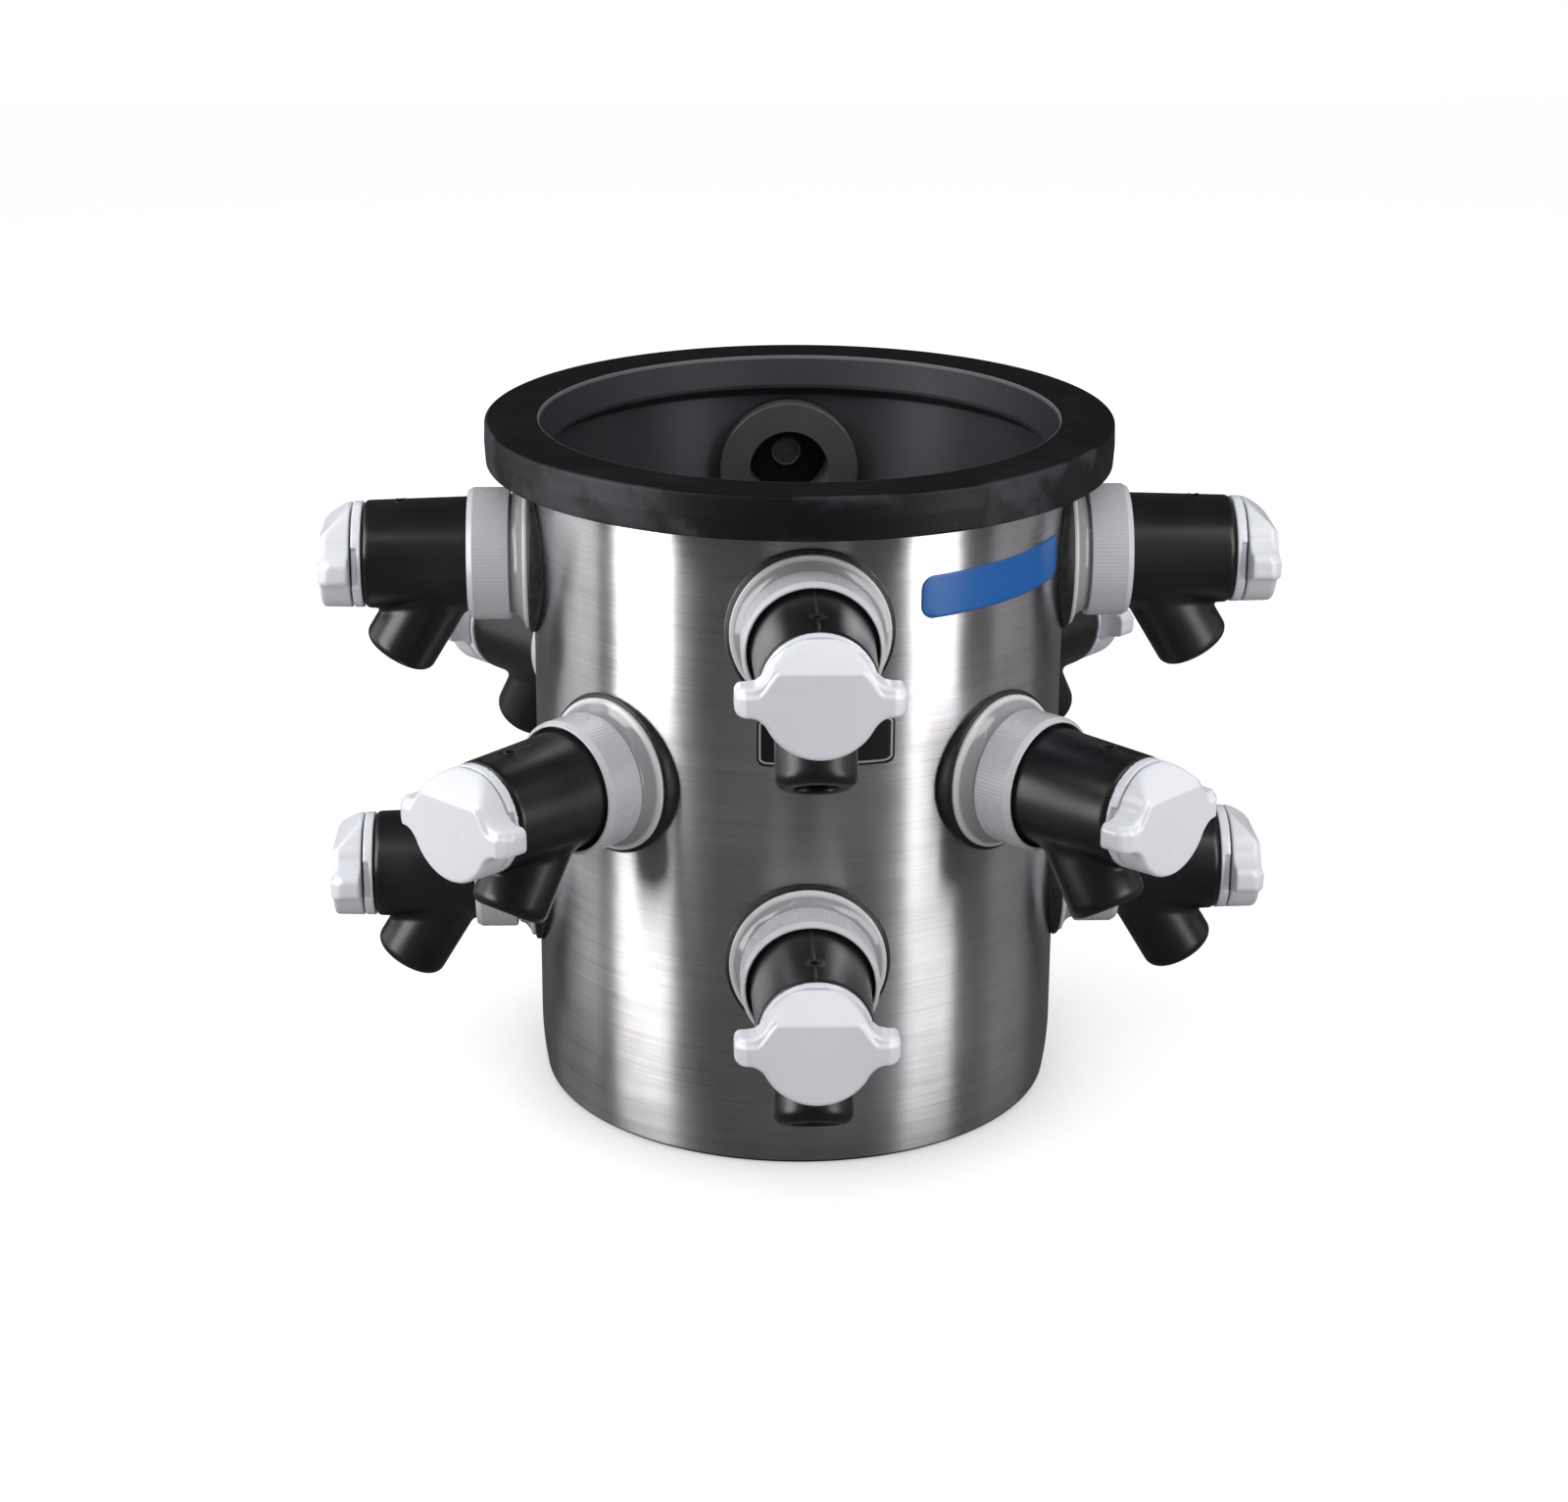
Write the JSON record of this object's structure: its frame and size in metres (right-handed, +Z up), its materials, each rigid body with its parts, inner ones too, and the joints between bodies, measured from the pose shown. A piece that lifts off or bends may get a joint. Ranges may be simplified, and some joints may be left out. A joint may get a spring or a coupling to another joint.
{
  "type": "freeze dryer drying chamber",
  "caption": "Upright steel drying chamber with a thick rubber rim gasket and staggered rows of rubber flask valves with winged knobs.",
  "frame": {"origin": "centre of the drum's base, on the surface it stands on", "axes": "+Z up along the drum's axis, -Y out of the front ports, +X to the right seen from the front"},
  "size_m": [0.4324, 0.4324, 0.315],
  "materials": {
    "steel": "brushed around the drum",
    "gasket_rubber": "matte moulded rubber",
    "seal_rubber": "matte rubber",
    "nut_plastic": "dark moulded plastic",
    "fitting_plastic": "smooth light grey plastic",
    "collar_plastic": "finely ribbed light grey plastic",
    "valve_rubber": "smooth moulded rubber",
    "knob_plastic": "glossy light grey plastic",
    "blue_film": "glossy blank label",
    "black_film": "glossy blank label with a thin pale line"
  },
  "bodies": {
    "chamber": {"drum": "steel", "rim_gasket": "gasket_rubber", "port_seals": "seal_rubber", "inner_washers": "seal_rubber", "ring_nuts": "nut_plastic", "blue_label": "blue_film", "black_label": "black_film", "port_fitting_top_front": "fitting_plastic", "port_fitting_top_right": "fitting_plastic", "port_fitting_top_back": "fitting_plastic", "port_fitting_top_left": "fitting_plastic", "port_fitting_mid_front_right": "fitting_plastic", "port_fitting_mid_back_right": "fitting_plastic", "port_fitting_mid_back_left": "fitting_plastic", "port_fitting_mid_front_left": "fitting_plastic", "port_fitting_low_front": "fitting_plastic", "port_fitting_low_right": "fitting_plastic", "port_fitting_low_back": "fitting_plastic", "port_fitting_low_left": "fitting_plastic", "collar_nut_top_front": "collar_plastic", "collar_nut_top_right": "collar_plastic", "collar_nut_top_back": "collar_plastic", "collar_nut_top_left": "collar_plastic", "collar_nut_mid_front_right": "collar_plastic", "collar_nut_mid_back_right": "collar_plastic", "collar_nut_mid_back_left": "collar_plastic", "collar_nut_mid_front_left": "collar_plastic", "collar_nut_low_front": "collar_plastic", "collar_nut_low_right": "collar_plastic", "collar_nut_low_back": "collar_plastic", "collar_nut_low_left": "collar_plastic", "valve_body_top_front": "valve_rubber", "valve_body_top_right": "valve_rubber", "valve_body_top_back": "valve_rubber", "valve_body_top_left": "valve_rubber", "valve_body_mid_front_right": "valve_rubber", "valve_body_mid_back_right": "valve_rubber", "valve_body_mid_back_left": "valve_rubber", "valve_body_mid_front_left": "valve_rubber", "valve_body_low_front": "valve_rubber", "valve_body_low_right": "valve_rubber", "valve_body_low_back": "valve_rubber", "valve_body_low_left": "valve_rubber"},
    "knob_top_front": {"knob_top_front": "knob_plastic"},
    "knob_top_right": {"knob_top_right": "knob_plastic"},
    "knob_top_back": {"knob_top_back": "knob_plastic"},
    "knob_top_left": {"knob_top_left": "knob_plastic"},
    "knob_mid_front_right": {"knob_mid_front_right": "knob_plastic"},
    "knob_mid_back_right": {"knob_mid_back_right": "knob_plastic"},
    "knob_mid_back_left": {"knob_mid_back_left": "knob_plastic"},
    "knob_mid_front_left": {"knob_mid_front_left": "knob_plastic"},
    "knob_low_front": {"knob_low_front": "knob_plastic"},
    "knob_low_right": {"knob_low_right": "knob_plastic"},
    "knob_low_back": {"knob_low_back": "knob_plastic"},
    "knob_low_left": {"knob_low_left": "knob_plastic"}
  },
  "joints": [
    {"name": "turn_top_front", "type": "hinge", "parent": "chamber", "child": "knob_top_front", "pos_m": [0, -0.2, 0.2508], "axis": [0, -1, 0], "continuous": true},
    {"name": "turn_top_right", "type": "hinge", "parent": "chamber", "child": "knob_top_right", "pos_m": [0.2, 0, 0.2508], "axis": [1, 0, 0], "continuous": true},
    {"name": "turn_top_back", "type": "hinge", "parent": "chamber", "child": "knob_top_back", "pos_m": [0, 0.2, 0.2608], "axis": [0, 1, 0], "continuous": true},
    {"name": "turn_top_left", "type": "hinge", "parent": "chamber", "child": "knob_top_left", "pos_m": [-0.2, 0, 0.2508], "axis": [-1, 0, 0], "continuous": true},
    {"name": "turn_mid_front_right", "type": "hinge", "parent": "chamber", "child": "knob_mid_front_right", "pos_m": [0.14142, -0.14142, 0.17515], "axis": [0.7071, -0.7071, 0], "continuous": true},
    {"name": "turn_mid_back_right", "type": "hinge", "parent": "chamber", "child": "knob_mid_back_right", "pos_m": [0.14142, 0.14142, 0.17515], "axis": [0.7071, 0.7071, 0], "continuous": true},
    {"name": "turn_mid_back_left", "type": "hinge", "parent": "chamber", "child": "knob_mid_back_left", "pos_m": [-0.14142, 0.14142, 0.17515], "axis": [-0.7071, 0.7071, 0], "continuous": true},
    {"name": "turn_mid_front_left", "type": "hinge", "parent": "chamber", "child": "knob_mid_front_left", "pos_m": [-0.14142, -0.14142, 0.17515], "axis": [-0.7071, -0.7071, 0], "continuous": true},
    {"name": "turn_low_front", "type": "hinge", "parent": "chamber", "child": "knob_low_front", "pos_m": [0, -0.2, 0.0995], "axis": [0, -1, 0], "continuous": true},
    {"name": "turn_low_right", "type": "hinge", "parent": "chamber", "child": "knob_low_right", "pos_m": [0.2, 0, 0.0995], "axis": [1, 0, 0], "continuous": true},
    {"name": "turn_low_back", "type": "hinge", "parent": "chamber", "child": "knob_low_back", "pos_m": [0, 0.2, 0.0995], "axis": [0, 1, 0], "continuous": true},
    {"name": "turn_low_left", "type": "hinge", "parent": "chamber", "child": "knob_low_left", "pos_m": [-0.2, 0, 0.0995], "axis": [-1, 0, 0], "continuous": true}
  ]
}
